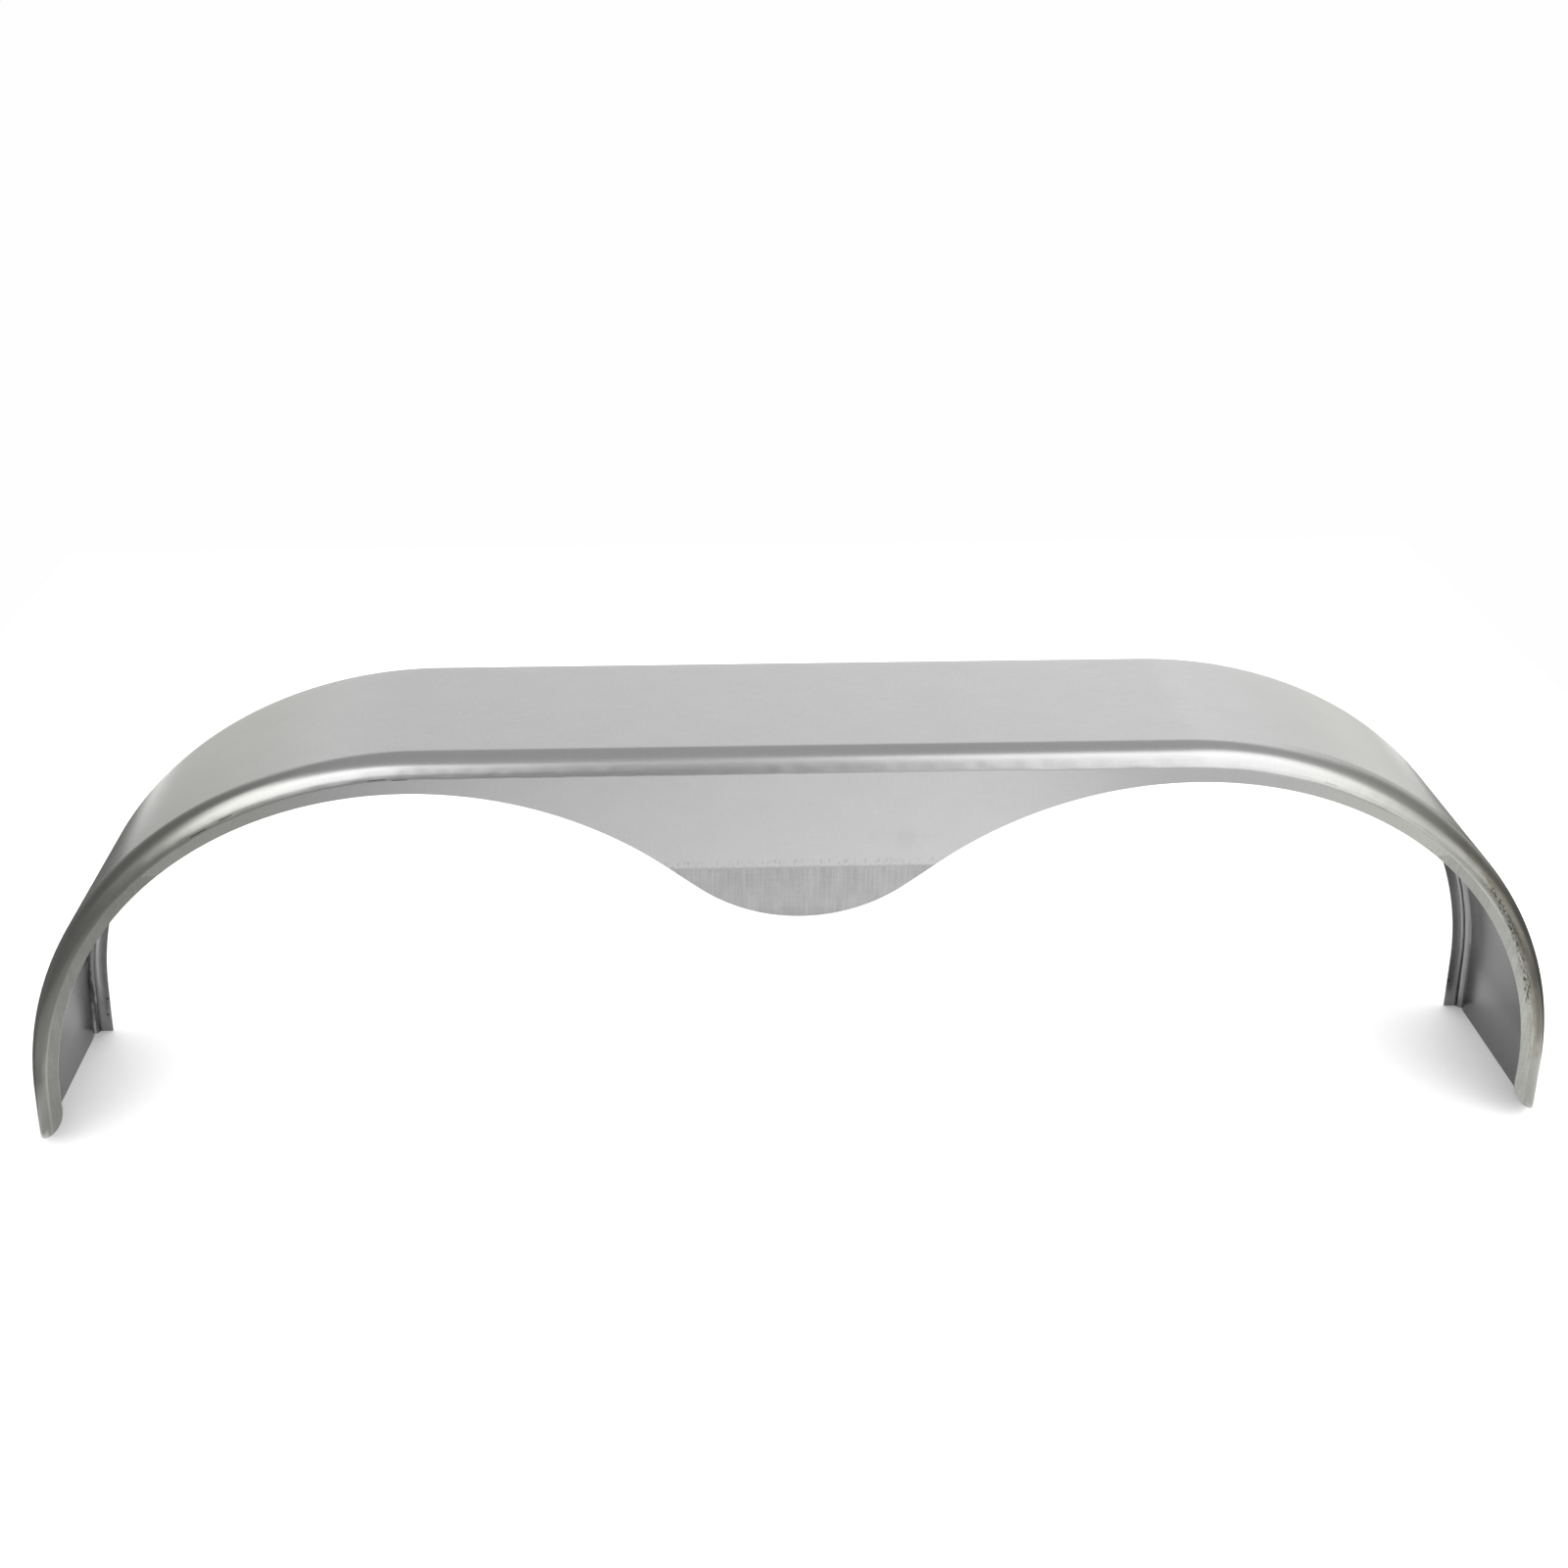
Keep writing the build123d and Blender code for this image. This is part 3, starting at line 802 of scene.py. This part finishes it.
# Surroundings, by direction: height and bearing are in degrees, and a bearing of 0 is straight in front
world = bpy.data.worlds.new("studio")
bpy.context.scene.world = world
world.use_nodes = True
tree = world.node_tree
tree.nodes.clear()
direction = add(tree, "ShaderNodeTexCoord").outputs["Generated"]
toward = add(tree, "ShaderNodeSeparateXYZ", {0: direction}).outputs
height = add(tree, "ShaderNodeMath", {0: toward["Z"]}, operation="ARCSINE")
height = add(tree, "ShaderNodeMath", {0: height}, operation="DEGREES")
forward = add(tree, "ShaderNodeMath", {0: toward["Y"], 1: -1.0}, operation="MULTIPLY")
bearing = add(tree, "ShaderNodeMath", {0: toward["X"], 1: forward}, operation="ARCTAN2")
bearing = add(tree, "ShaderNodeMath", {0: bearing}, operation="DEGREES")

# The room: brighter overhead than at the horizon, and dimmer on the left
room = add(
    tree,
    "ShaderNodeMapRange",
    {"Value": height, "From Min": 0.0, "From Max": 55.0, "To Min": 0.25, "To Max": 0.52},
    interpolation_type="SMOOTHSTEP",
)
dim_left = add(
    tree,
    "ShaderNodeMapRange",
    {"Value": toward["X"], "From Min": -0.35, "From Max": -0.85, "To Min": 1.0, "To Max": 0.58},
    interpolation_type="SMOOTHSTEP",
)
room = add(tree, "ShaderNodeMath", {0: room, 1: dim_left}, operation="MULTIPLY")

# The white wall behind, which the top of the strip mirrors: it fades at its ends and is brightest low down
behind = add(
    tree,
    "ShaderNodeMapRange",
    {"Value": toward["Y"], "From Min": 0.2, "From Max": 0.75, "To Min": 0.0, "To Max": 1.0},
    interpolation_type="SMOOTHSTEP",
)
wall = window(tree, height, -26, -3, 30, 44)
wall = add(tree, "ShaderNodeMath", {0: behind, 1: wall}, operation="MULTIPLY")
wall = add(tree, "ShaderNodeMath", {0: wall, 1: 0.68}, operation="MULTIPLY")
wall_left_end = add(
    tree,
    "ShaderNodeMapRange",
    {"Value": toward["X"], "From Min": -0.53, "From Max": -0.72, "To Min": 1.0, "To Max": 0.20},
    interpolation_type="SMOOTHSTEP",
)
wall = add(tree, "ShaderNodeMath", {0: wall, 1: wall_left_end}, operation="MULTIPLY")
wall_middle = window(tree, toward["X"], -0.53, -0.40, 0.40, 0.60)
wall_middle = add(tree, "ShaderNodeMapRange", {"Value": wall_middle, "To Min": 0.80, "To Max": 0.97})
wall = add(tree, "ShaderNodeMath", {0: wall, 1: wall_middle}, operation="MULTIPLY")
low_lift = add(
    tree,
    "ShaderNodeMapRange",
    {"Value": height, "From Min": 0.0, "From Max": 22.918, "To Min": 1.18, "To Max": 1.0},
)
wall = add(tree, "ShaderNodeMath", {0: wall, 1: low_lift}, operation="MULTIPLY")
right_lift = add(
    tree,
    "ShaderNodeMapRange",
    {"Value": toward["X"], "From Min": -0.2, "From Max": 0.25, "To Min": 0.97, "To Max": 1.15},
)
light = add(tree, "ShaderNodeMath", {0: room, 1: wall}, operation="ADD")
light = add(tree, "ShaderNodeMath", {0: light, 1: right_lift}, operation="MULTIPLY")

# Two soft boxes in front, which the bead mirrors. They hang askew, with their lower edges rising outwards.
sideways = add(tree, "ShaderNodeMath", {0: toward["X"]}, operation="ABSOLUTE")
askew = add(tree, "ShaderNodeMath", {0: sideways, 1: 0.56}, operation="SUBTRACT")
askew = add(tree, "ShaderNodeMath", {0: askew, 1: 0.0}, operation="MAXIMUM")
askew = add(tree, "ShaderNodeMath", {0: askew, 1: 1.34}, operation="MULTIPLY")
above_edge = add(tree, "ShaderNodeMath", {0: toward["Z"], 1: askew}, operation="SUBTRACT")
left_box = patch(tree, bearing, (-88, -70, -15, -5), above_edge, (-0.18, 0.12, 2.0, 3.0))
left_top = window(tree, height, -80, -70, 36, 55)
left_box = add(tree, "ShaderNodeMath", {0: left_box, 1: left_top}, operation="MULTIPLY")
right_box = patch(tree, bearing, (2, 18, 52, 82), above_edge, (-0.28, 0.05, 2.0, 3.0))
right_top = window(tree, height, -80, -70, 50, 70)
right_top = add(tree, "ShaderNodeMath", {0: right_top, 1: 0.88}, operation="MULTIPLY")
right_box = add(tree, "ShaderNodeMath", {0: right_box, 1: right_top}, operation="MULTIPLY")
boxes = add(tree, "ShaderNodeMath", {0: left_box, 1: right_box}, operation="ADD")
box_ends = add(
    tree,
    "ShaderNodeMapRange",
    {"Value": sideways, "From Min": 0.68, "From Max": 0.93, "To Min": 1.75, "To Max": 0.0},
    interpolation_type="SMOOTHSTEP",
)
boxes = add(tree, "ShaderNodeMath", {0: boxes, 1: box_ends}, operation="MULTIPLY")
light = add(tree, "ShaderNodeMath", {0: light, 1: boxes}, operation="ADD")

# Fainter light: a reflector low in front on the right, which the apron mirrors, and a fill beside each leg
reflector = patch(tree, bearing, (-4, 18, 70, 95), height, (-60, -40, -6, 6))
reflector = add(tree, "ShaderNodeMath", {0: reflector, 1: 0.55}, operation="MULTIPLY")
light = add(tree, "ShaderNodeMath", {0: light, 1: reflector}, operation="ADD")
left_fill = patch(tree, toward["X"], (-0.97, -0.90, -0.68, -0.55), height, (-6, 4, 12, 24))
left_fill = add(tree, "ShaderNodeMath", {0: left_fill, 1: 0.14}, operation="MULTIPLY")
right_fill = patch(tree, toward["X"], (0.68, 0.80, 0.86, 0.94), height, (-22, -10, 10, 20))
right_fill = add(tree, "ShaderNodeMath", {0: right_fill, 1: 0.22}, operation="MULTIPLY")
fills = add(tree, "ShaderNodeMath", {0: left_fill, 1: right_fill}, operation="ADD")
in_front = add(tree, "ShaderNodeMapRange", {"Value": toward["Y"], "From Min": 0.1, "From Max": -0.2})
fills = add(tree, "ShaderNodeMath", {0: fills, 1: in_front}, operation="MULTIPLY")
light = add(tree, "ShaderNodeMath", {0: light, 1: fills}, operation="ADD")

# The backdrop itself is plain white
white_backdrop = 0.99
camera_ray = add(tree, "ShaderNodeLightPath").outputs["Is Camera Ray"]
seen = add(tree, "ShaderNodeMix", {0: camera_ray, 2: light, 3: white_backdrop})
add(tree, "ShaderNodeOutputWorld", {"Surface": add(tree, "ShaderNodeBackground", {"Color": seen})})

overhead = bpy.data.lights.new("overhead_light", "SUN")
overhead.energy = 3.2
overhead.angle = radians(150)
overhead_object = bpy.data.objects.new("overhead_light", overhead)
overhead_object.visible_glossy = False
bpy.context.scene.collection.objects.link(overhead_object)

# The camera stands where the photograph was taken. Its focal length and optical centre are in the
# photograph's pixels, and it looks down and turns by angles in radians.
photo_pixels = 1600
focal_pixels = 1664.4
centre_across_pixels = 748.8
centre_down_pixels = 712.4
camera_looks_down = 0.4764
camera_turns = -0.0297
camera_data = bpy.data.cameras.new("camera")
camera_data.sensor_width = 36.0
camera_data.lens = focal_pixels / photo_pixels * camera_data.sensor_width
camera_data.shift_x = (photo_pixels / 2 - centre_across_pixels) / photo_pixels
camera_data.shift_y = (centre_down_pixels - photo_pixels / 2) / photo_pixels
camera = bpy.data.objects.new("camera", camera_data)
camera.location = (-0.12105, -1.62883, 1.3815)
camera.rotation_euler = (pi / 2 - camera_looks_down, 0, camera_turns)
bpy.context.scene.collection.objects.link(camera)
bpy.context.scene.camera = camera
bpy.context.scene.view_settings.view_transform = "Standard"
